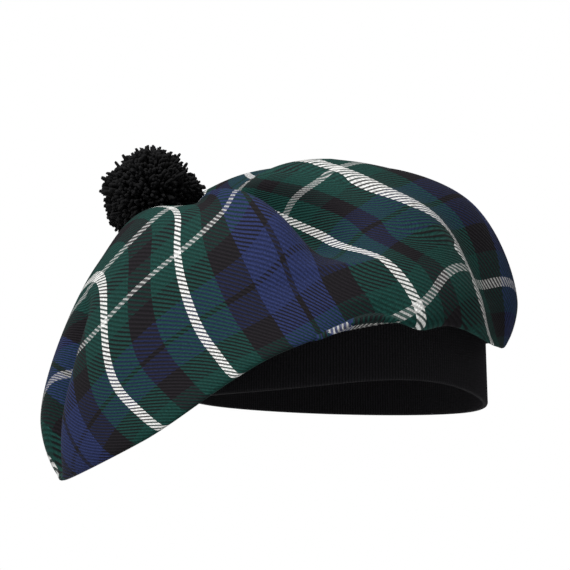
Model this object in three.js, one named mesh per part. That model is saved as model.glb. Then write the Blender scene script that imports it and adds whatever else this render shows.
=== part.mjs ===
// A tam o'shanter: a soft tartan crown cut in one piece and gathered into a rib-knit headband, with a
// toorie, a pompom of cut yarn, at the crown's middle. It is shaped as it sits on a head: pulled to the
// wearer's right, where the cloth hangs below the headband.
// Millimetres, +Z up, +X to the wearer's left, -Y to the front. The origin is the middle of the headband's
// lower edge.
import * as THREE from "three";

const HEADBAND = {
  halfWidth: 82.5, // to the outside of the knit, across the head
  halfDepth: 97.5, // to the outside of the knit, front to back: about 566 mm round
  height: 40,
  thickness: 3,
  flare: 1.2, // how much further out the lower edge stands
  edgeRound: 1.2,
  around: 60, // facets
  hang: -5.3, // the lower edge isn't level: it lies this far from z = 0 all round,
  tilt: -2.5, // this much more at the wearer's left and less at the right,
  arch: 9.5, // and rises in an arch at the front
  archAt: 300, // degrees round from the wearer's left
  archHalfWidth: 44,
};

const TOORIE = {
  radius: 27,
  middle: new THREE.Vector3(-106, 21, 116),
  lumps: 0.7, // how far the outer form of the yarn swells and dips
  lumpsDown: 5,
  lumpsRound: 6,
  gap: 0.8, // between the yarn's outer form and the cloth that it presses down
  around: 30, // facets round it, and from its top to its foot
  along: 16,
};

const CROWN = {
  thickness: 1.6,
  middle: new THREE.Vector3(-95, 20, 90), // where the toorie is sewn on
  underMiddle: 0.5, // the underside's bend, between the rim and the headband
  underHeight: 0.58,
  seamOut: 3.6, // the cloth turns in this far outside the headband's face
  edgeOut: -1.4, // and its gathered edge ends here, over the middle of the knit
  seamUp: 0.4, // above the headband's top edge
};

// The crown is drawn over four rings, each with its own middle, which shifts towards the toorie.
const RING_MIDDLES = {
  crest: [-80, 14], // round the toorie
  shoulder: [-50, 8],
  side: [-35, 5],
  rim: [-30, 0], // the lowest stretch, where the cloth turns under
};

// Facets from the toorie to the crest ring, and on to the shoulder, the side, the rim, the middle of the
// underside, the seam and the gathered edge. A place along the cloth is counted in these stretches.
const STRETCH_FACETS = [6, 6, 4, 4, 3, 2, 1];

// Facets round the crown, in degrees from the wearer's left: narrow ones where the folds lie.
const ROUND_FACETS = [
  { from: 0, to: 195, count: 26 },
  { from: 195, to: 350, count: 46 },
  { from: 350, to: 360, count: 2 },
];

// A row for each direction round the hat, in equal steps from the wearer's left (+X) towards the back (+Y).
// "out" is a ring's reach from its own middle in that direction, and "up" is its height.
const SECTION_COLUMNS = [
  "rimOut", "rimUp", "sideOut", "sideUp", "shoulderOut", "shoulderUp", "crestOut", "crestUp",
];
const SECTIONS = [
  [119, 30, 131, 52, 118, 110, 66, 134], // wearer's left
  [125, 33, 137, 56, 118, 113, 63, 138],
  [140, 32, 146, 57, 110, 118, 56, 136],
  [142, 28, 146, 50, 102, 114, 48, 124], // back
  [138, 4, 142, 32, 97, 95, 44, 110],
  [128, -28, 134, -3, 92, 74, 40, 97],
  [117, -39, 130, -10, 88, 73, 36, 93], // wearer's right, where the crown hangs
  [136, -49, 139, -22, 100, 54, 40, 100],
  [150, -32, 143, -6, 104, 61, 44, 104],
  [150, 14, 141, 34, 103, 82, 48, 104], // front
  [147, 30, 147, 49, 108, 90, 54, 112],
  [130, 23, 140, 51, 126, 105, 60, 130],
];

// Folds that run along the cloth: their direction in degrees where they begin and where they end, half
// the width in degrees, how far the cloth stands out (or sinks, below zero), and the stretches where
// they begin and end.
const FOLDS = [
  { start: 301, end: 288, width: 8, out: -27, from: 0.35, to: 2.6 }, // the valley behind the front ridge
  { start: 288, end: 274, width: 8, out: 8, from: 0.35, to: 2.7 }, // the front ridge
  { start: 330, end: 333, width: 10, out: -13, from: 1.2, to: 3.9 }, // the hollow at the front left
  { start: 345, end: 345, width: 8, out: 5, from: 1.5, to: 4.2 }, // the bulge beside it
  { start: 286, end: 286, width: 8, out: -5, from: 3.2, to: 5.6 }, // a tuck under the front rim
  { start: 298, end: 298, width: 5, out: 4, from: 3.2, to: 5.6 }, // and the gather beside it
  { start: 208, end: 206, width: 5, out: -16, from: 2.0, to: 3.9 }, // the dent where the crown hangs
];
const FOLD_END = 0.8; // below 1 the folds' ends are blunter

const WOOL_TWILL = { colour: 0x1c3a44, roughness: 0.9 };
const RIB_KNIT = { colour: 0x121214, roughness: 0.92 };
const TOORIE_YARN = { colour: 0x0d0d0f, roughness: 0.95 };

const turn = 2 * Math.PI;

// How many degrees an angle lies past a direction, from -180 to 180.
function degreesFrom(direction, angle) {
  const past = THREE.MathUtils.radToDeg(angle) - direction;
  return THREE.MathUtils.euclideanModulo(past + 180, 360) - 180;
}

// The point at a direction on an ellipse.
function onEllipse(angle, halfWidth, halfDepth, height) {
  return new THREE.Vector3(halfWidth * Math.cos(angle), halfDepth * Math.sin(angle), height);
}

// One column of the section table at any direction, on a smooth closed curve through its rows.
function sectionValue(column, angle) {
  const index = SECTION_COLUMNS.indexOf(column);
  const count = SECTIONS.length;
  const place = (angle / turn) * count;
  const row = Math.floor(place);
  const f = place - row;
  const near = [-1, 0, 1, 2].map((step) => SECTIONS[(row + step + count) % count][index]);
  const [before, here, next, after] = near;
  const pull = 2 * before - 5 * here + 4 * next - after + f * (3 * (here - next) + after - before);
  return here + 0.5 * f * (next - before + f * pull);
}

function ringPoint(ring, angle) {
  const [x, y] = RING_MIDDLES[ring];
  const out = sectionValue(`${ring}Out`, angle);
  const up = sectionValue(`${ring}Up`, angle);
  return new THREE.Vector3(x + out * Math.cos(angle), y + out * Math.sin(angle), up);
}

// The cloth's line from the toorie, over the shoulder and round the rim, to its edge in the headband.
function sectionCurve(angle) {
  const { halfWidth, halfDepth, height } = HEADBAND;
  const { seamOut, edgeOut } = CROWN;
  const up = height + CROWN.seamUp;
  const seam = onEllipse(angle, halfWidth + seamOut, halfDepth + seamOut, up);
  const edge = onEllipse(angle, halfWidth + edgeOut, halfDepth + edgeOut, up);
  const rim = ringPoint("rim", angle);
  const under = rim.clone().lerp(seam, CROWN.underMiddle);
  under.z = THREE.MathUtils.lerp(rim.z, seam.z, CROWN.underHeight);
  const points = [
    CROWN.middle,
    ringPoint("crest", angle),
    ringPoint("shoulder", angle),
    ringPoint("side", angle),
    rim,
    under,
    seam,
    edge,
  ];
  return new THREE.CatmullRomCurve3(points, false, "centripetal");
}

// How far the folds push the cloth out, at a direction and a place along the cloth.
function foldPush(angle, place) {
  let push = 0;
  for (const fold of FOLDS) {
    const along = THREE.MathUtils.clamp((place - fold.from) / (fold.to - fold.from), 0, 1);
    const aside = degreesFrom(THREE.MathUtils.lerp(fold.start, fold.end, along), angle);
    push += fold.out * Math.exp(-((aside / fold.width) ** 2)) * Math.sin(Math.PI * along) ** FOLD_END;
  }
  return push;
}

// A closed mesh through rings of equal length, from a first pole to a last one. Without poles the last ring
// joins the first. Seen from outside, each ring runs anticlockwise about the way to the next.
function lofted(rings, poles) {
  const count = rings[0].length;
  const points = rings.flat();
  const faces = [];
  const joins = poles ? rings.length - 1 : rings.length;
  for (let i = 0; i < joins; i += 1) {
    const here = i * count;
    const next = ((i + 1) % rings.length) * count;
    for (let j = 0; j < count; j += 1) {
      const k = (j + 1) % count;
      faces.push(here + j, next + j, next + k);
      faces.push(here + j, next + k, here + k);
    }
  }
  if (poles) {
    const first = points.push(poles[0]) - 1;
    const last = points.push(poles[1]) - 1;
    const lastRing = (rings.length - 1) * count;
    for (let j = 0; j < count; j += 1) {
      const k = (j + 1) % count;
      faces.push(first, j, k);
      faces.push(last, lastRing + k, lastRing + j);
    }
  }
  const geometry = new THREE.BufferGeometry().setFromPoints(points);
  geometry.setIndex(faces);
  geometry.computeVertexNormals();
  return geometry;
}

// The way out of the cloth at each point, from its neighbours along and round the rings.
function outwardNormals(rings, pole) {
  const count = rings[0].length;
  return rings.map((ring, i) =>
    ring.map((point, j) => {
      const inner = i > 0 ? rings[i - 1][j] : pole;
      const outer = i < rings.length - 1 ? rings[i + 1][j] : point;
      const along = outer.clone().sub(inner);
      const round = ring[(j + 1) % count].clone().sub(ring[(j + count - 1) % count]);
      return along.cross(round).normalize();
    }),
  );
}

function moved(rings, normals, distance) {
  return rings.map((ring, i) =>
    ring.map((point, j) => point.clone().addScaledVector(normals[i][j], distance(i, j))),
  );
}

// The toorie presses the cloth down to the shape of its own outer form.
function clearOfToorie(point) {
  const away = point.clone().sub(TOORIE.middle);
  const least = TOORIE.radius + TOORIE.lumps + TOORIE.gap;
  return away.length() < least ? away.setLength(least).add(TOORIE.middle) : point;
}

function crownGeometry() {
  const { thickness } = CROWN;
  const angles = ROUND_FACETS.flatMap(({ from, to, count }) =>
    Array.from({ length: count }, (_, j) => THREE.MathUtils.degToRad(from + ((to - from) * j) / count)),
  );
  const curves = angles.map(sectionCurve);
  const places = STRETCH_FACETS.flatMap((facets, stretch) =>
    Array.from({ length: facets }, (_, k) => stretch + (k + 1) / facets),
  );
  const stretches = STRETCH_FACETS.length;
  const smooth = places.map((place) => curves.map((curve) => curve.getPoint(place / stretches)));
  const out = outwardNormals(smooth, CROWN.middle);
  const folded = moved(smooth, out, (i, j) => foldPush(angles[j], places[i]));
  const outer = folded.map((ring) => ring.map(clearOfToorie));
  const pole = clearOfToorie(CROWN.middle);
  const normals = outwardNormals(outer, pole);
  const inner = moved(outer, normals, () => -thickness).reverse();
  const poleNormal = pole.clone().sub(TOORIE.middle).normalize();
  const innerPole = pole.clone().addScaledVector(poleNormal, thickness);
  return lofted([...outer, ...inner], [pole, innerPole]);
}

// How far the headband's lower edge lies from z = 0 at an angle.
function lowerEdge(angle) {
  const { hang, tilt, arch, archAt, archHalfWidth } = HEADBAND;
  const aside = degreesFrom(archAt, angle) / archHalfWidth;
  return hang + tilt * Math.cos(angle) + arch * Math.exp(-(aside ** 2));
}

function headbandGeometry() {
  const { halfWidth, halfDepth, height, thickness, flare, edgeRound, around } = HEADBAND;
  // Its cut face, from the outside of the top edge down, in, up and back out, as [out, up] pairs.
  const profile = [
    [0, height - edgeRound],
    [flare, edgeRound],
    [flare - edgeRound, 0],
    [flare + edgeRound - thickness, 0],
    [flare - thickness, edgeRound],
    [-thickness, height - edgeRound],
    [edgeRound - thickness, height],
    [-edgeRound, height],
  ];
  const rings = profile.map(([out, up]) =>
    Array.from({ length: around }, (_, j) => {
      const angle = (turn * j) / around;
      const level = up + lowerEdge(angle) * (1 - up / height);
      return onEllipse(angle, halfWidth + out, halfDepth + out, level);
    }),
  );
  return lofted(rings, null);
}

function toorieGeometry() {
  const { radius, lumps, lumpsDown, lumpsRound, middle, around, along } = TOORIE;
  const pointAt = (down, angle) => {
    const reach = radius + lumps * Math.sin(lumpsDown * down) * Math.cos(lumpsRound * angle);
    const out = onEllipse(angle, Math.sin(down), Math.sin(down), Math.cos(down));
    return out.multiplyScalar(reach).add(middle);
  };
  const rings = Array.from({ length: along - 1 }, (_, i) =>
    Array.from({ length: around }, (_, j) => pointAt((Math.PI * (i + 1)) / along, (turn * j) / around)),
  );
  return lofted(rings, [pointAt(0, 0), pointAt(Math.PI, 0)]);
}

function mesh(name, geometry, { colour, roughness }) {
  const material = new THREE.MeshStandardMaterial({ color: colour, roughness, metalness: 0 });
  material.name = name;
  const made = new THREE.Mesh(geometry, material);
  made.name = name;
  return made;
}

const tam = new THREE.Group();
tam.name = "tam_o_shanter";
tam.add(mesh("crown", crownGeometry(), WOOL_TWILL));
tam.add(mesh("headband", headbandGeometry(), RIB_KNIT));
tam.add(mesh("toorie", toorieGeometry(), TOORIE_YARN));

export default tam;
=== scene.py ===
# %% [markdown]
# # A tam o'shanter in Blender
#
# A tam is a flat Scottish bonnet. One big round of checked wool is gathered into a knitted band that
# grips the head, and a tuft of yarn, the toorie, sits on the middle of the crown. This one is worn:
# the crown stands up over one ear and flops down past the other, and a fold runs down its front.
#
# The lesson makes each piece in the order in which a maker would: band, crown, cloth pattern, toorie.
# Sizes are in millimetres and become metres only when a mesh is made. X is to the wearer's left,
# Y to the back and Z up, and the middle of the band's lower edge is the origin.

import math

import bpy
import numpy as np
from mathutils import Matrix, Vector


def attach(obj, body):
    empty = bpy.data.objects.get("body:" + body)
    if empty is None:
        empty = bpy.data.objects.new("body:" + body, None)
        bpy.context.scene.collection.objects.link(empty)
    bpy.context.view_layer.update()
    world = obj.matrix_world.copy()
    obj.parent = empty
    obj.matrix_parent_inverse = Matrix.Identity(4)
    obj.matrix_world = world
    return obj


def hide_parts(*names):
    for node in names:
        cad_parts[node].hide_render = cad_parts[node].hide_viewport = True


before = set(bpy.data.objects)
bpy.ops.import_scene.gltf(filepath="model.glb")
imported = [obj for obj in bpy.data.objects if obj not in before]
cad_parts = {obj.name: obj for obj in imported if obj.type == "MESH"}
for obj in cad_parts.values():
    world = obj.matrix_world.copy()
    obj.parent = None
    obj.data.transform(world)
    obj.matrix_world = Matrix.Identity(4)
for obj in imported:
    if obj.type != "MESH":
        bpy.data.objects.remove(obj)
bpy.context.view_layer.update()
MM = 0.001
print("frame:", ", ".join(sorted(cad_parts)))

# %% [markdown]
# ## The camera
#
# The bonnet is looked at from a little below its crown's rim, as if it were on a shelf at eye height,
# from 1.4 m away. A long lens keeps the curves calm.

# %% Camera
EYE_DISTANCE = 1400
EYE_ELEVATION = math.radians(-6)
LOOK_AT = np.array([-30.0, 0.0, 62.7])
FIELD = 322  # mm of the object's middle plane that fill the picture's width
SENSOR = 36

forward = np.array([0.0, math.cos(EYE_ELEVATION), -math.sin(EYE_ELEVATION)])
upward = np.array([0.0, math.sin(EYE_ELEVATION), math.cos(EYE_ELEVATION)])
eye = LOOK_AT - EYE_DISTANCE * forward

camera = bpy.data.objects.new("camera", bpy.data.cameras.new("camera"))
bpy.context.collection.objects.link(camera)
camera.location = eye * MM
camera.rotation_euler = Vector(forward).to_track_quat("-Z", "Y").to_euler()
camera.data.sensor_width = SENSOR
camera.data.lens = SENSOR * EYE_DISTANCE / FIELD
bpy.context.scene.camera = camera
print(f"lens {camera.data.lens:.1f} mm, eye at z {eye[2]:.0f} mm")

# %% [markdown]
# ## Small helpers
#
# Colours are given as the hex values that a colour chart prints, and a renderer wants linear light,
# so one function turns them. Another makes a mesh from tables of points and faces, and a third adds
# one shader node with its settings and links. The rest of the lesson uses only these three.

# %% Helpers
def linear(hex_colour):
    """The linear RGBA colour of an sRGB hex value."""
    parts = [int(hex_colour[i:i + 2], 16) / 255 for i in (1, 3, 5)]
    return [p / 12.92 if p <= 0.04045 else ((p + 0.055) / 1.055) ** 2.4 for p in parts] + [1.0]


def solid(name, points, faces, uv=None):
    """A smooth mesh object from points in mm, faces and, if given, a pair of cloth places in mm."""
    mesh = bpy.data.meshes.new(name)
    mesh.from_pydata((np.asarray(points) * MM).tolist(), [], [tuple(map(int, f)) for f in faces])
    mesh.shade_smooth()
    if uv is not None:
        corner = np.empty(len(mesh.loops), int)
        mesh.loops.foreach_get("vertex_index", corner)
        layer = mesh.uv_layers.new(name="cloth")
        layer.data.foreach_set("uv", (np.asarray(uv)[corner] * MM).ravel())
    made = bpy.data.objects.new(name, mesh)
    bpy.context.collection.objects.link(made)
    return made


def node(material, kind, feeds=None, **settings):
    """Adds a shader node. feeds gives its sockets a value or another node's output."""
    tree = material.node_tree
    made = tree.nodes.new("ShaderNode" + kind)
    for name, value in settings.items():
        setattr(made, name, value)
    for socket, value in (feeds or {}).items():
        if isinstance(value, bpy.types.NodeSocket):
            tree.links.new(value, made.inputs[socket])
        else:
            made.inputs[socket].default_value = value
    return made


def new_material(name):
    """An empty node material and its output node."""
    material = bpy.data.materials.new(name)
    material.use_nodes = True
    material.node_tree.nodes.clear()
    return material, node(material, "OutputMaterial")


def grid_faces(across, along, start=0, flip=False):
    """Quads between rings of points: across is round the object and closes, along is open."""
    i = np.arange(across)[:, None]
    j = np.arange(along - 1)[None, :]
    after = (i + 1) % across
    quads = [i * along + j, after * along + j, after * along + j + 1, i * along + j + 1]
    quads = np.stack(np.broadcast_arrays(*quads), -1).reshape(-1, 4) + start
    return quads[:, ::-1] if flip else quads

# %% [markdown]
# ## The crown's shape
#
# The crown is soft cloth, but it rests in one shape. It could be sculpted or simulated, and both would
# be hard to steer. Here it is drawn as a tailor would pin it: spokes run out from under the toorie, over
# the top, round the rim, and back in to the band. Each spoke passes through rings, and a short table
# says how far out and how high each ring lies in twelve directions. Direction 0 is the wearer's left,
# 90 the back, 180 the wearer's right and 270 the front.

# %% Sizes of the crown and the band
BAND_HALF = (82.5, 97.5)  # half width and half depth of the band
BAND_HEIGHT = 40
BAND_THICKNESS = 3
CLOTH_THICKNESS = 1.6
TOORIE_MIDDLE = np.array([-106.0, 21.0, 116.0])
TOORIE_RADIUS = 27
CROWN_MIDDLE = np.array([-95.0, 20.0, 90.0])

# Each row is 30 degrees on: how far out and how high the rim, side, shoulder and crest rings lie.
RING_TABLE = np.array([
    # rim out, up, side out, up, shoulder out, up, crest out, up
    (119, 30, 131, 52, 118, 110, 66, 134),
    (125, 33, 137, 56, 118, 113, 63, 138),
    (140, 32, 146, 57, 110, 118, 56, 136),
    (142, 28, 146, 50, 102, 114, 48, 124),
    (138, 4, 142, 32, 97, 95, 44, 110),
    (128, -28, 134, -3, 92, 74, 40, 97),
    (117, -39, 130, -10, 88, 73, 36, 93),
    (136, -49, 139, -22, 100, 54, 40, 100),
    (150, -32, 143, -6, 104, 61, 44, 104),
    (150, 14, 141, 34, 103, 82, 48, 104),
    (147, 30, 147, 49, 108, 90, 54, 112),
    (130, 23, 140, 51, 126, 105, 60, 130),
], float)
RING_MIDDLES = {"rim": (-30, 0), "side": (-35, 5), "shoulder": (-50, 8), "crest": (-80, 14)}
SEAM_OUT, SEAM_UP = 3.6, 0.4  # where the cloth meets the band, out from its face and above its top
EDGE_OUT = -1.4
UNDER_OUT, UNDER_UP = 0.5, 0.58  # the underside's middle, as shares of the way from rim to seam


def round_table(column, direction):
    """A smooth closed curve through one column of the ring table."""
    count = len(column)
    place = (np.asarray(direction) / 360 * count) % count
    whole = np.floor(place).astype(int)
    part = place - whole
    before, here, after, beyond = (column[(whole + step) % count] for step in (-1, 0, 1, 2))
    bend = 3 * (here - after) + beyond - before
    return here + part / 2 * (
        after - before + part * (2 * before - 5 * here + 4 * after - beyond + part * bend))


def ring_points(direction):
    """The eight points of each spoke, from under the toorie to the cloth's edge on the band."""
    out = np.stack([np.cos(np.radians(direction)), np.sin(np.radians(direction))], -1)
    rings = []
    for k, middle in enumerate(RING_MIDDLES.values()):
        reach = round_table(RING_TABLE[:, 2 * k], direction)[:, None]
        height = round_table(RING_TABLE[:, 2 * k + 1], direction)[:, None]
        rings.append(np.hstack([np.array(middle) + reach * out, height]))
    level = np.full((len(out), 1), BAND_HEIGHT + SEAM_UP)
    seam = np.hstack([(np.array(BAND_HALF) + SEAM_OUT) * out, level])
    edge = np.hstack([(np.array(BAND_HALF) + EDGE_OUT) * out, level])
    share = np.array([UNDER_OUT, UNDER_OUT, UNDER_UP])
    under = rings[0] * (1 - share) + seam * share
    top = np.broadcast_to(CROWN_MIDDLE, seam.shape)
    return np.stack([top, rings[3], rings[2], rings[1], rings[0], under, seam, edge], 1)


def spoke_curves(rings, places):
    """Points of the smooth curve through each spoke's rings, at ring numbers from 0 to 7."""
    count = rings.shape[1]
    first = 2 * rings[:, :1] - rings[:, 1:2]
    last = 2 * rings[:, -1:] - rings[:, -2:-1]
    points = np.concatenate([first, rings, last], 1)
    gaps = np.maximum(np.linalg.norm(np.diff(points, axis=1), axis=2) ** 0.5, 1e-6)
    knots = np.concatenate([np.zeros((len(points), 1)), np.cumsum(gaps, 1)], 1)
    curves = np.empty((len(points), len(places), 3))
    for j, place in enumerate(places):
        g = min(int(place), count - 2) + 1
        level = [points[:, g + step] for step in (-1, 0, 1, 2)]
        knot = [knots[:, g + step] for step in (-1, 0, 1, 2)]
        now = knot[1] + (knot[2] - knot[1]) * (place - (g - 1))
        # Three rounds of straight mixing give the curve that passes through every ring.
        for pairs in (3, 2, 1):
            mixed = []
            for k in range(pairs):
                start, end = knot_span(pairs, k)
                share = ((now - knot[start]) / (knot[end] - knot[start]))[:, None]
                mixed.append(level[k] * (1 - share) + level[k + 1] * share)
            level = mixed
        curves[:, j] = level[0]
    return curves


def knot_span(pairs, k):
    """Which two knots a mixing step of the curve runs between."""
    return {3: (k, k + 1), 2: (k, k + 2), 1: (1, 2)}[pairs]

# %% [markdown]
# ## Folds
#
# A fold is a ridge or a valley that runs along the cloth. On the front of this bonnet a ridge comes
# down from the toorie and ends halfway to the band, with a deep valley behind it. Each fold is one row:
# where it starts and ends, how wide it is, and how far it lifts the cloth off the smooth crown.

# %% Folds
# Each row: from direction, to direction, half width in degrees, lift in mm, from place, to place.
FOLDS = (
    (301, 288, 8, -27, 0.35, 2.6),
    (288, 274, 8, 8, 0.35, 2.7),
    (330, 333, 10, -13, 1.2, 3.9),
    (345, 345, 8, 5, 1.5, 4.2),
    (286, 286, 8, -5, 3.2, 5.6),
    (298, 298, 5, 4, 3.2, 5.6),
    (208, 206, 5, -16, 2.0, 3.9),
)
FOLD_END = 0.8  # below 1 the fold's ends are blunter


def fold_lift(direction, places):
    """How far the folds push each point of the crown out along its normal."""
    lift = np.zeros((len(direction), len(places)))
    for start, end, width, height, first, last in FOLDS:
        run = np.clip((places - first) / (last - first), 0, 1)
        line = start + (end - start) * run
        aside = (direction[:, None] - line[None, :] + 180) % 360 - 180
        lift += height * np.exp(-(aside / width) ** 2) * np.sin(np.pi * run) ** FOLD_END
    return lift


def outward(points):
    """Unit normals of a grid of spokes, pointing out of the crown."""
    round_step = np.roll(points, -1, 0) - np.roll(points, 1, 0)
    along_step = np.gradient(points, axis=1)
    normal = np.cross(along_step, round_step)
    normal /= np.maximum(np.linalg.norm(normal, axis=2, keepdims=True), 1e-9)
    normal[:, 0] = normal[:, 2].mean(0)
    return normal / np.linalg.norm(normal, axis=2, keepdims=True)


TOORIE_GAP = 1.5


def clear_of_toorie(points):
    """Moves cloth that would lie inside the toorie out to just under it."""
    away = points - TOORIE_MIDDLE
    distance = np.linalg.norm(away, axis=-1, keepdims=True)
    least = TOORIE_RADIUS + TOORIE_GAP
    return np.where(distance < least, TOORIE_MIDDLE + away / distance * least, points)


SPOKES = 320
STRETCHES = (28, 30, 26, 18, 18, 16, 2)  # steps between one ring and the next

directions = np.arange(SPOKES) * 360 / SPOKES
places = np.concatenate([[0]] + [k + np.arange(1, n + 1) / n for k, n in enumerate(STRETCHES)])
smooth_crown = spoke_curves(ring_points(directions), places)
lift = fold_lift(directions, places)[:, :, None]
outer = clear_of_toorie(smooth_crown + outward(smooth_crown) * lift)
normals = outward(outer)
print(f"crown: {SPOKES} spokes of {len(places)} points, {np.ptp(outer[..., 0]):.0f} mm wide")

# %% [markdown]
# ## Where the check lies on the cloth
#
# The check was woven flat. When the cloth was pulled into this shape its lines bent with it, so the
# pattern can't be laid on from one side. Instead every point of the crown gets its place on the flat
# cloth, in two directions, in mm: "across" counts the warp's stripes and "along" the weft's. The first
# guess measures out from the toorie along the spokes, turned a little with the cloth's grain. Then
# the guess is pulled to fit where the stripes really run: the chart below says where some of them pass,
# in mm to the right of and above the band's middle as seen by the camera. Between the charted points
# the pull fades smoothly. The fold hides a strip of cloth, so stripes before and behind it are apart.

# %% Chart of the stripes
TOORIE_ON_CLOTH = (20, 95)
GRAIN = np.array([-52, -50, -40, -20, -5, -5, -5, -5, -5, -5, -12, -45.0])  # a row every 30 degrees

ACROSS_BEFORE_FOLD = {
    0: ((-81, 113), (-95, 103), (-93, 84), (-89, 71), (-82, 51), (-71, 28), (-58, 13)),
    -50: ((-133, 68), (-132, 28), (-124, 2), (-108, -13), (-101, -16)),
    -78: ((-148, 37), (-146, 10), (-141, -14)),
    60: ((-55, 113), (-40, 96), (-27, 78), (-16, 59), (-4, 44)),
    80: ((-32, 101), (-11, 85)),
    104: ((4, 73), (21, 54)),
    -158: ((-166, -11),),
    -136: ((-158, -38), (-151, -40)),
}
ACROSS_BEHIND_FOLD = {
    120: ((-28, 99), (-10, 91), (13, 82), (34, 74), (46, 61), (53, 49)),
    145: ((-55, 119), (-38, 116), (-5, 113), (29, 99), (42, 81), (66, 50)),
    170: ((-29, 132), (-10, 130), (8, 126), (35, 112), (59, 98), (66, 83), (69, 70), (76, 54)),
    164: ((6, 122), (33, 108)),
    176: ((10, 130), (37, 116)),
    198: ((34, 129), (58, 116), (77, 91), (85, 68)),
}
ALONG_BEFORE_FOLD = {
    0: ((-159, 14), (-150, 15), (-140, 31), (-110, 66), (-92, 79), (-75, 89), (-71, 99), (-64, 111)),
    50: ((-129, 75), (-112, 89), (-95, 105)),
    -22: ((-163, -4),),
    -42: ((-158, -32),),
    -60: ((-78, 42), (-60, 54), (-45, 66), (-27, 78)),
    -104: ((-5, 42), (-26, 34)),
    -110: ((-57, 12), (-101, -16), (0, 40)),
}
ALONG_BEHIND_FOLD = {
    0: ((-33, 105), (-25, 110), (-15, 117), (-6, 125), (6, 131)),
    50: ((-58, 115), (-52, 120), (-48, 124), (-44, 128)),
    -60: ((14, 95), (27, 98)),
    -92: ((41, 82),),
    -110: ((52, 76), (35, 56), (12, 44)),
    -120: ((25, 43), (40, 47), (52, 56), (57, 65), (63, 72), (68, 73), (81, 64), (98, 64)),
    -128: ((41, 40),),
    -138: ((62, 42),),
    -144: ((89, 42),),
}
# The ridge line that parts "before" from "behind": from direction, to direction, from place, to place.
RIDGE = (288, 274, 0.35, 2.7)
NEAR_RIDGE = (9, 6)  # degrees past the ridge up to which a point may count as before or behind it
VALLEY_TURN = 45  # degrees of cloth that the valley swallows near the toorie
VALLEY_OPENS = (4, 30)  # the turn begins this many degrees past the ridge and grows over so many,
VALLEY_CLOSES = (90, 150)  # and fades again the same way further round,
VALLEY_ENDS = (1.5, 1.3)  # and outwards from this place, over so many rings
SEEN_TO = 4.6  # the last place on a spoke that a charted point may lie on
NEAREST = 16  # square mm in the picture within which points count as equally near
ONE_LAYER = 15  # mm of depth within which points lie on the same layer of cloth
REACH = 60  # mm over which a charted point pulls
SOFTNESS = 0.08  # how much a charted point may give way to its neighbours


def ease(value):
    """0 to 1 with soft ends."""
    value = np.clip(value, 0, 1)
    return value * value * (3 - 2 * value)


def past_ridge(direction, places):
    """How many degrees each point lies past the ridge line, from -180 to 180."""
    start, end, first, last = RIDGE
    run = np.clip((places - first) / (last - first), 0, 1)
    return (direction[:, None] - (start + (end - start) * run)[None, :] + 180) % 360 - 180


def with_valley_opened(direction, places, points):
    """The crown with the cloth past the ridge turned away, so that distances count the valley's cloth."""
    past = past_ridge(direction, places) % 360
    opens = ease((past - VALLEY_OPENS[0]) / VALLEY_OPENS[1])
    closes = ease((past - VALLEY_CLOSES[0]) / VALLEY_CLOSES[1])
    ends = ease((places - VALLEY_ENDS[0]) / VALLEY_ENDS[1])
    turn = np.radians(VALLEY_TURN * opens * (1 - closes) * (1 - ends)[None, :])
    away = points - CROWN_MIDDLE
    x = away[..., 0] * np.cos(turn) - away[..., 1] * np.sin(turn)
    y = away[..., 0] * np.sin(turn) + away[..., 1] * np.cos(turn)
    return np.stack([x, y, away[..., 2]], -1)


def seen_from_eye(points):
    """Each point's place in the camera's picture, in mm right of and above the band, and its depth."""
    ray = points - eye
    depth = ray @ forward
    scale = EYE_DISTANCE / depth
    return ray[..., 0] * scale + LOOK_AT[0], (ray @ upward) * scale + LOOK_AT[2], depth


def point_shown_at(right, up, behind):
    """The grid point of the crown that shows nearest to a place in the picture."""
    near = (shown_right - right) ** 2 + (shown_up - up) ** 2
    on_side = ridge_angle > NEAR_RIDGE[1] if behind else ridge_angle < NEAR_RIDGE[0]
    near = np.where(facing & on_side, near, np.inf)
    candidates = near < max(4 * near.min() + 4, NEAREST)
    front = np.where(candidates, shown_depth, np.inf).min()
    choice = np.where(candidates & (shown_depth < front + ONE_LAYER), near, np.inf)
    return np.unravel_index(choice.argmin(), choice.shape)


shown_right, shown_up, shown_depth = seen_from_eye(outer)
ridge_angle = past_ridge(directions, places)
facing = ((normals * (outer - eye)).sum(-1) < 0) & (places < SEEN_TO)[None, :]
steps = np.linalg.norm(np.diff(outer, axis=1), axis=2)
spoke_length = np.concatenate([np.zeros((SPOKES, 1)), np.cumsum(steps, 1)], 1)
grain = np.radians(directions + round_table(GRAIN, directions))[:, None]
guess = (TOORIE_ON_CLOTH[0] + spoke_length * np.cos(grain),
         TOORIE_ON_CLOTH[1] + spoke_length * np.sin(grain))
opened = with_valley_opened(directions, places, smooth_crown)


def fade(gap):
    """How strongly a charted point pulls on cloth this many mm away."""
    return (1 + gap / REACH) * np.exp(-gap / REACH)


def pulled(guess, before, behind):
    """The guess pulled so that each charted stripe passes where the chart says."""
    pins, pulls = [], []
    for chart, is_behind in ((before, False), (behind, True)):
        for stripe, points in chart.items():
            for right, up in points:
                pin = point_shown_at(right, up, is_behind)
                pins.append(pin)
                pulls.append(stripe - guess[pin])
    pins = np.array(pins)
    at = opened[pins[:, 0], pins[:, 1]]
    between = fade(np.linalg.norm(at[:, None] - at[None], axis=2))
    strength = np.linalg.solve(between + np.eye(len(at)) * SOFTNESS, pulls)
    gaps = np.linalg.norm(opened.reshape(-1, 1, 3) - at[None], axis=2)
    return guess + (fade(gaps) @ strength).reshape(guess.shape), len(at)


across, across_pins = pulled(guess[0], ACROSS_BEFORE_FOLD, ACROSS_BEHIND_FOLD)
along, along_pins = pulled(guess[1], ALONG_BEFORE_FOLD, ALONG_BEHIND_FOLD)
print(f"stripes: {across_pins} charted points of the warp, {along_pins} of the weft")

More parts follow.
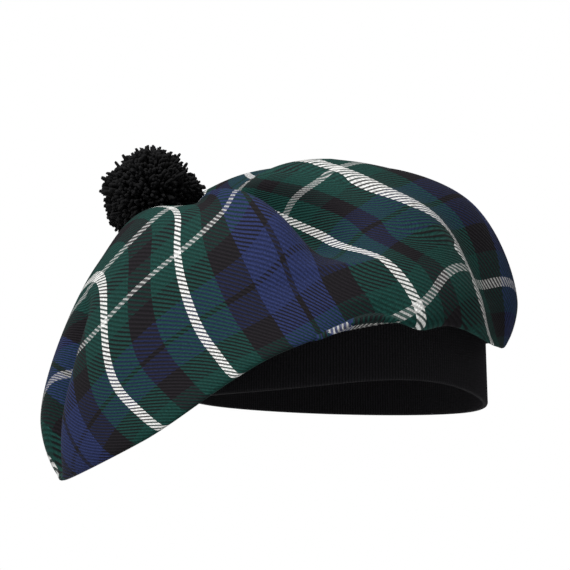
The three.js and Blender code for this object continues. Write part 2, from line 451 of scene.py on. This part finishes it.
# %% [markdown]
# ## The crown's mesh
#
# The cloth has a thickness, so the grid of spokes is laid twice, once outside and once further in, and
# the two are joined where the cloth ends on the band. The places on the cloth go into a UV map in
# metres, so that the material can count threads in real sizes.

# %% Crown mesh
def crown_mesh():
    """The crown as one closed skin of cloth: outside, edge and inside."""
    inner = outer - normals * CLOTH_THICKNESS
    spoke_points = len(places)
    layer = SPOKES * spoke_points
    points = np.concatenate([outer.reshape(-1, 3), inner.reshape(-1, 3)])
    cloth = np.stack([across, along], -1).reshape(-1, 2)
    edge = np.arange(SPOKES) * spoke_points + spoke_points - 1
    after = np.roll(edge, -1)
    rim = np.stack([edge, after, after + layer, edge + layer], -1)
    faces = np.concatenate([
        grid_faces(SPOKES, spoke_points),
        grid_faces(SPOKES, spoke_points, layer, flip=True),
        rim])
    return solid("crown_cloth", points, faces, np.concatenate([cloth, cloth]))


crown = crown_mesh()
print(f"crown mesh: {len(crown.data.polygons)} quads")

# %% [markdown]
# ## The tartan
#
# The real cloth is a wool twill: two threads over, two under, one step on with each row, which draws
# fine slanting lines. Warp and weft carry the same list of stripes, called the sett. Where both are
# green the cloth is green; where green crosses black the slanting lines mix them. Two painted colours
# would lose this, so the material counts threads: it knows the warp's colour, the weft's colour, and
# which of the two is on top. The warp is packed closer and covers a little more than half.

# %% Sett
# Each row: where the stripe starts, in mm, and its yarn.
SETT = (
    (0, "white"), (2.5, "green"), (18, "black"), (33, "green"), (47.5, "white"), (52.5, "green"),
    (68.5, "black"), (87.5, "blue"), (108.2, "black"), (111.8, "blue"), (132.5, "black"),
    (151.5, "green"), (167.5, "white"),
)
SETT_REPEAT = 170
YARNS = {"white": "#e9e9e6", "green": "#113d37", "black": "#171318", "blue": "#252f5a"}
WARP_PITCH = 0.7 * MM  # real threads are about 0.6 mm apart; these are coarser so that the twill shows
WEFT_PITCH = 0.95 * MM
TWILL_THREADS = 4
WARP_SHARE = 0.6


def yarn_ramp(material, place, sign):
    """The yarn's colour at a place across the sett, which repeats."""
    turns = node(material, "Math", {0: place, 1: sign / (SETT_REPEAT * MM)}, operation="MULTIPLY")
    part = node(material, "Math", {0: turns.outputs[0]}, operation="FRACT")
    ramp = node(material, "ValToRGB", {0: part.outputs[0]})
    ramp.color_ramp.interpolation = "CONSTANT"
    stops = ramp.color_ramp.elements
    stops[0].color = linear(YARNS[SETT[0][1]])
    stops[1].position = SETT[1][0] / SETT_REPEAT
    stops[1].color = linear(YARNS[SETT[1][1]])
    for start, yarn in SETT[2:]:
        stops.new(start / SETT_REPEAT).color = linear(YARNS[yarn])
    return ramp.outputs[0]


def wool_twill():
    """Worsted wool, dyed in the yarn and woven in a 2/2 twill: matt, a little hairy, faintly lustrous."""
    material, output = new_material("wool_twill")
    cloth = node(material, "UVMap", uv_map="cloth")
    place = node(material, "SeparateXYZ", {0: cloth.outputs[0]})
    warp = yarn_ramp(material, place.outputs[0], -1)
    weft = yarn_ramp(material, place.outputs[1], 1)

    # The twill's slant: how many threads this point is from the start, both ways together.
    warp_count = node(material, "Math", {0: place.outputs[0], 1: WARP_PITCH}, operation="DIVIDE")
    weft_count = node(material, "Math", {0: place.outputs[1], 1: WEFT_PITCH}, operation="DIVIDE")
    both = node(material, "Math", {0: warp_count.outputs[0], 1: weft_count.outputs[0]}, operation="ADD")
    slant = node(material, "Math", {0: both.outputs[0], 1: TWILL_THREADS}, operation="DIVIDE")
    phase = node(material, "Math", {0: slant.outputs[0]}, operation="FRACT")
    on_top = node(material, "Math", {0: phase.outputs[0], 1: WARP_SHARE}, operation="LESS_THAN")
    # Hairs of the covered thread still show between those of the thread on top.
    warp_on_top = node(material, "MapRange", {0: on_top.outputs[0], 3: 0.1, 4: 0.94})
    woven = node(material, "Mix", {0: warp_on_top.outputs[0], 6: weft, 7: warp}, data_type="RGBA")

    # Wool takes dye unevenly and its surface hairs scatter light: a fine mottle of lighter and darker.
    mottle = node(material, "TexNoise", {"Vector": cloth.outputs[0], "Scale": 900, "Detail": 3})
    mottled = node(material, "MapRange", {0: mottle.outputs[0], 1: 0.3, 2: 0.7, 3: 0.62, 4: 1.38})
    # Painted shade and highlight: each slanting rib is painted lightest on its back and darkest in the dip
    # beside it.
    rib = node(material, "Math", {0: phase.outputs[0], 1: math.pi / WARP_SHARE}, operation="MULTIPLY")
    rib_back = node(material, "Math", {0: rib.outputs[0]}, operation="SINE")
    rib_shade = node(material, "MapRange", {0: rib_back.outputs[0], 1: -0.6, 2: 0.9, 3: 0.62, 4: 1.12})
    shade = node(material, "Math", {0: mottled.outputs[0], 1: rib_shade.outputs[0]}, operation="MULTIPLY")
    # Between one warp thread and the next lies a hair-thin shadow.
    turn = node(material, "Math", {0: warp_count.outputs[0], 1: 2 * math.pi}, operation="MULTIPLY")
    strand = node(material, "Math", {0: turn.outputs[0]}, operation="SINE")
    strand_shade = node(material, "MapRange", {0: strand.outputs[0], 1: -1, 2: 0.2, 3: 0.72, 4: 1.08})
    shade = node(material, "Math", {0: shade.outputs[0], 1: strand_shade.outputs[0]}, operation="MULTIPLY")
    colour = node(
        material, "Mix", {0: 1.0, 6: woven.outputs[2], 7: shade.outputs[0]},
        data_type="RGBA", blend_type="MULTIPLY")

    hair = node(material, "TexNoise", {"Vector": cloth.outputs[0], "Scale": 1600, "Detail": 2})
    relief = node(material, "Math", {0: hair.outputs[0], 1: rib_back.outputs[0]}, operation="ADD")
    bump = node(material, "Bump", {"Strength": 0.5, "Distance": 0.35 * MM, "Height": relief.outputs[0]})
    surface = node(material, "BsdfPrincipled", {
        "Base Color": colour.outputs[2], "Roughness": 0.85, "Specular IOR Level": 0.15,
        "Sheen Weight": 0.04, "Sheen Roughness": 0.45, "Sheen Tint": linear("#c8d2d0"),
        "Normal": bump.outputs[0]})
    material.node_tree.links.new(surface.outputs[0], output.inputs[0])
    return material


crown.data.materials.append(wool_twill())
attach(crown, "root")
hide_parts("crown")
print(f"sett of {len(SETT) - 1} stripes in {SETT_REPEAT} mm")

# %% [markdown]
# ## The headband
#
# The band is a tube of 1x1 rib knit: one stitch stands out and the next sinks in, all the way round, so
# fine upright ribs show. Bump would leave the lower edge smooth, so the ribs are real: the ring is
# lofted with its radius going in and out once for each rib. The stitches along a rib are finer than the
# mesh and are left to the material.

# %% Headband mesh
RIBS = 330
STEPS_PER_RIB = 4
RIB_DEPTH = 0.9
BAND_FLARE = 1.2
EDGE_ROUND = 1.2
BAND_ROWS = 9
BAND_LENGTH = 560  # mm of knit round the head
# The lower edge isn't level: it hangs a little, more on the left, and arches up at the front.
EDGE_HANG, EDGE_TILT, EDGE_ARCH = -5.3, -2.5, 9.5
ARCH_AT, ARCH_HALF_WIDTH = 300, 44


def band_mesh():
    """A ribbed ring with a rounded lower and upper edge."""
    count = RIBS * STEPS_PER_RIB
    angle = np.arange(count) * 2 * math.pi / count
    rib = (np.cos(angle * RIBS) + 1) / 2 * RIB_DEPTH
    turns = np.linspace(0, math.pi, 5)
    profile = []  # how far in from the face, height, and how much of the rib shows
    for z in np.linspace(EDGE_ROUND, BAND_HEIGHT - EDGE_ROUND, BAND_ROWS):
        profile.append((0, z, 1))
    half = BAND_THICKNESS / 2
    for turn in turns[1:-1]:
        profile.append((half - half * math.cos(turn), BAND_HEIGHT - EDGE_ROUND * (1 - math.sin(turn)),
                        math.cos(turn) ** 2))
    for z in np.linspace(BAND_HEIGHT - EDGE_ROUND, EDGE_ROUND, BAND_ROWS):
        profile.append((BAND_THICKNESS, z, -1))
    for turn in turns[1:-1]:
        profile.append((half + half * math.cos(turn), EDGE_ROUND * (1 - math.sin(turn)),
                        math.cos(turn) ** 2))
    degrees = np.degrees(angle)
    aside = (degrees - ARCH_AT + 180) % 360 - 180
    low = EDGE_HANG + EDGE_TILT * np.cos(angle) + EDGE_ARCH * np.exp(-(aside / ARCH_HALF_WIDTH) ** 2)
    rows = []
    for inward, level, show in profile:
        height = level + low * (1 - level / BAND_HEIGHT)
        flare = BAND_FLARE * (1 - level / BAND_HEIGHT)
        reach = flare - inward - (RIB_DEPTH - rib) * show * 0.5
        x = (BAND_HALF[0] + reach) * np.cos(angle)
        y = (BAND_HALF[1] + reach) * np.sin(angle)
        rows.append(np.stack([x, y, height], -1))
    points = np.stack(rows, 1)
    knit = np.stack(np.broadcast_arrays(BAND_LENGTH * angle[:, None] / (2 * math.pi), points[..., 2]), -1)
    faces = grid_faces(count, len(profile))
    last = np.arange(count) * len(profile) + len(profile) - 1
    first = np.arange(count) * len(profile)
    close = np.stack([last, np.roll(last, -1), np.roll(first, -1), first], -1)
    return solid("knit_band", points.reshape(-1, 3), np.concatenate([faces, close]), knit.reshape(-1, 2))


band = band_mesh()
print(f"band: {RIBS} ribs, {len(band.data.polygons)} quads")

# %% [markdown]
# ## Black knit wool
#
# The knit is dull black yarn. Black wool isn't pure black: hairs on its surface catch the light, which
# reads as a soft grey bloom at the edges. Shade is also painted into its colour: darker between the ribs,
# lighter on their backs.

# %% Knit material
STITCH_HEIGHT = 1.4 * MM
RIB_PITCH = BAND_LENGTH / RIBS * MM


def knit_wool(name, hex_colour, stitch):
    """Black acrylic and wool yarn, knitted or tufted: matt and fuzzy, with a grey bloom."""
    material, output = new_material(name)
    if stitch:
        cloth = node(material, "UVMap", uv_map="cloth").outputs[0]
        up = node(material, "SeparateXYZ", {0: cloth}).outputs[1]
        row = node(material, "Math", {0: up, 1: 2 * math.pi / STITCH_HEIGHT}, operation="MULTIPLY")
        wave = node(material, "Math", {0: row.outputs[0]}, operation="SINE").outputs[0]
        along = node(material, "SeparateXYZ", {0: cloth}).outputs[0]
        rib = node(material, "Math", {0: along, 1: 2 * math.pi / RIB_PITCH}, operation="MULTIPLY")
        rib_back = node(material, "Math", {0: rib.outputs[0]}, operation="COSINE").outputs[0]
        # Painted shade and highlight: the colour is darkened between the ribs and lightened on their
        # backs.
        painted_groove_shade = node(material, "MapRange", {0: rib_back, 1: -1, 2: 0.6, 3: 0.35, 4: 1.5}).outputs[0]
    else:
        cloth = node(material, "TexCoord").outputs["Object"]
        wave, painted_groove_shade = 0.0, 1.0
    fuzz = node(material, "TexNoise", {"Vector": cloth, "Scale": 1400, "Detail": 3})
    stitches = node(material, "Math", {0: wave, 1: 0.25}, operation="MULTIPLY")
    relief = node(material, "Math", {0: fuzz.outputs[0], 1: stitches.outputs[0]}, operation="ADD")
    bump = node(material, "Bump", {"Strength": 0.5, "Distance": 0.3 * MM, "Height": relief.outputs[0]})
    tone = node(material, "MapRange", {0: fuzz.outputs[0], 1: 0.3, 2: 0.7, 3: 0.6, 4: 1.5})
    # The fuzz's random tone, times the painted shade between the ribs.
    tone = node(material, "Math", {0: tone.outputs[0], 1: painted_groove_shade}, operation="MULTIPLY")
    colour = node(
        material, "Mix", {0: 1.0, 6: linear(hex_colour), 7: tone.outputs[0]},
        data_type="RGBA", blend_type="MULTIPLY")
    surface = node(material, "BsdfPrincipled", {
        "Base Color": colour.outputs[2], "Roughness": 0.9, "Specular IOR Level": 0.2,
        "Sheen Weight": 0.025, "Sheen Roughness": 0.5, "Sheen Tint": linear("#b8b8c0"),
        "Normal": bump.outputs[0]})
    material.node_tree.links.new(surface.outputs[0], output.inputs[0])
    return material


band.data.materials.append(knit_wool("rib_knit", "#141316", stitch=True))
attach(band, "root")
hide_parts("headband")

# %% [markdown]
# ## The toorie
#
# A toorie is a pompom: yarn wound round a ring, tied at the middle and cut, so that hundreds of ends
# stand out from one knot and their tips make a ball. A bumpy ball would look like plastic. Here every
# cut end is a short tube that leaves the knot, bends a little, and spreads at its tip where the yarn
# untwists. Their lengths differ, and a few stray ends stand proud. A plain core in the middle stands
# for the tied yarn, so that no light shows through.

# %% Toorie mesh
TUFTS = 2300
TUFT_SIDES = 5
TUFT_WIDTH = 0.95  # the yarn's radius at the cut end
WIDTH_RANGE = (0.8, 1.2)
TUFT_ROOT = 0.45  # where a tuft starts, as a share of the ball's radius
TUFT_RINGS = ((0.0, 0.5), (0.35, 0.7), (0.7, 0.95), (0.92, 1.15), (1.0, 0.8))  # share along, width
AIM_SPREAD, BEND = 0.07, 2.0  # how far tufts lean apart, and how many mm their tips bend aside
TUFT_LENGTH, LENGTH_SPREAD = 0.985, 0.04  # as shares of the ball's radius
STRAYS, STRAY_LENGTH = 0.04, (1.04, 1.15)  # the share of tufts that stand proud, and by how much
# The ball is squashed a little on the side where it lay against the crown's ridge.
SQUASHED_SIDE = np.array([0.72, -0.1, 0.68])
SQUASH, SQUASH_SPREAD = 0.12, 0.12
CORE_SHARE = 0.62  # the core's radius, as a share of the ball's
CORE_STEPS = 12
CORE_POLE = 0.04  # radians left open at each pole and closed by a small cap


def lumps(aim):
    """How far the ball swells in a direction, as a share of its radius."""
    wide = 0.04 * math.sin(7 * aim[0] + 2) * math.cos(5 * aim[1])
    squashed = SQUASH * math.exp(-np.sum((aim - SQUASHED_SIDE) ** 2) / SQUASH_SPREAD)
    return 1 + wide + 0.03 * math.sin(8 * aim[2]) - squashed


def tube_faces(start, rings, around):
    """The sides and both caps of a tube whose rings of points follow one another from start."""
    faces = []
    for ring in range(start, start + (rings - 1) * around, around):
        for s in range(around):
            a, b = ring + s, ring + (s + 1) % around
            faces.append((a, b, b + around, a + around))
    tip = start + (rings - 1) * around
    faces.append(tuple(range(tip, tip + around)))
    faces.append(tuple(range(start + around - 1, start - 1, -1)))
    return faces


def toorie_mesh():
    """All the cut yarn ends and their core as one mesh."""
    random = np.random.default_rng(7)
    golden = math.pi * (3 - math.sqrt(5))
    points, faces = [], []
    side = np.arange(TUFT_SIDES) * 2 * math.pi / TUFT_SIDES
    for k in range(TUFTS):
        height = 1 - 2 * (k + 0.5) / TUFTS
        ring = math.sqrt(1 - height * height)
        aim = np.array([ring * math.cos(golden * k), ring * math.sin(golden * k), height])
        aim += random.normal(0, AIM_SPREAD, 3)
        aim /= np.linalg.norm(aim)
        length = TOORIE_RADIUS * lumps(aim) * random.normal(TUFT_LENGTH, LENGTH_SPREAD)
        if random.random() < STRAYS:
            length *= random.uniform(*STRAY_LENGTH)
        sideways = np.cross(aim, [0.3, 0.5, 0.8])
        sideways /= np.linalg.norm(sideways)
        other = np.cross(aim, sideways)
        bend = random.normal(0, BEND, 2)
        width = TUFT_WIDTH * random.uniform(*WIDTH_RANGE)
        circle = np.cos(side)[:, None] * sideways + np.sin(side)[:, None] * other
        faces += tube_faces(len(points) * TUFT_SIDES, len(TUFT_RINGS), TUFT_SIDES)
        for share, wide in TUFT_RINGS:
            reach = length * (TUFT_ROOT + (1 - TUFT_ROOT) * share)
            middle = TOORIE_MIDDLE + aim * reach + (sideways * bend[0] + other * bend[1]) * share ** 2
            points.append(middle + circle * width * wide)
    faces += tube_faces(len(points) * TUFT_SIDES, CORE_STEPS, CORE_STEPS)
    turn = np.arange(CORE_STEPS) * 2 * math.pi / CORE_STEPS
    for level in np.linspace(math.pi - CORE_POLE, CORE_POLE, CORE_STEPS):
        circle = np.stack([np.sin(level) * np.cos(turn), np.sin(level) * np.sin(turn),
                           np.full(CORE_STEPS, np.cos(level))], -1)
        points.append(TOORIE_MIDDLE + circle * TOORIE_RADIUS * CORE_SHARE)
    return solid("toorie_yarn", np.concatenate(points), faces)


toorie = toorie_mesh()
toorie.data.materials.append(knit_wool("toorie_wool", "#0f0f10", stitch=False))
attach(toorie, "root")
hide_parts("toorie")
print(f"toorie: {TUFTS} cut ends, {len(toorie.data.polygons)} faces")

# %% [markdown]

# %% [markdown]
# ## Floor and light
#
# A pale floor lies well below, because the bonnet is shown as if worn. One big soft light stands high
# at the left in front and gives the folds their shade, a weaker one fills the right, and a pale sky
# fills the rest.

# %% Floor and lights
FLOOR_LEVEL = -0.22
bpy.ops.mesh.primitive_plane_add(size=8, location=(0, 0, FLOOR_LEVEL))
floor = bpy.context.object
floor.name = "floor"
paint, paint_output = new_material("pale_floor")
pale = node(paint, "BsdfPrincipled", {"Base Color": linear("#dcdcdc"), "Roughness": 0.9})
paint.node_tree.links.new(pale.outputs[0], paint_output.inputs[0])
floor.data.materials.append(paint)

world = bpy.context.scene.world or bpy.data.worlds.new("world")
bpy.context.scene.world = world
world.use_nodes = True
sky = world.node_tree.nodes["Background"]
sky.inputs[0].default_value = linear("#ffffff")
# White paper behind the object is lit on its own: the eye sees it white, and little of it spills.
PAPER_SEEN, PAPER_SPILL = 1.0, 0.18
ray = world.node_tree.nodes.new("ShaderNodeLightPath")
paper = world.node_tree.nodes.new("ShaderNodeMapRange")
paper.inputs["To Min"].default_value = PAPER_SPILL
paper.inputs["To Max"].default_value = PAPER_SEEN
world.node_tree.links.new(ray.outputs["Is Camera Ray"], paper.inputs["Value"])
world.node_tree.links.new(paper.outputs[0], sky.inputs[1])
bpy.context.scene.view_settings.view_transform = "Standard"

# Each row: name, place in m, size in m, power in W.
LIGHTS = (
    ("key", (-0.8, -0.9, 1.5), 0.9, 32),
    ("fill", (1.3, -1.0, 0.5), 0.9, 2),
    ("top", (-0.3, 0.3, 1.5), 0.8, 5),
)
for name, place, size, power in LIGHTS:
    lamp = bpy.data.objects.new(name, bpy.data.lights.new(name, "AREA"))
    lamp.data.shape = "DISK"
    lamp.data.size = size
    lamp.data.energy = power
    lamp.location = place
    lamp.rotation_euler = (Vector(LOOK_AT * MM) - Vector(place)).to_track_quat("-Z", "Y").to_euler()
    bpy.context.collection.objects.link(lamp)
print("lights:", ", ".join(row[0] for row in LIGHTS))
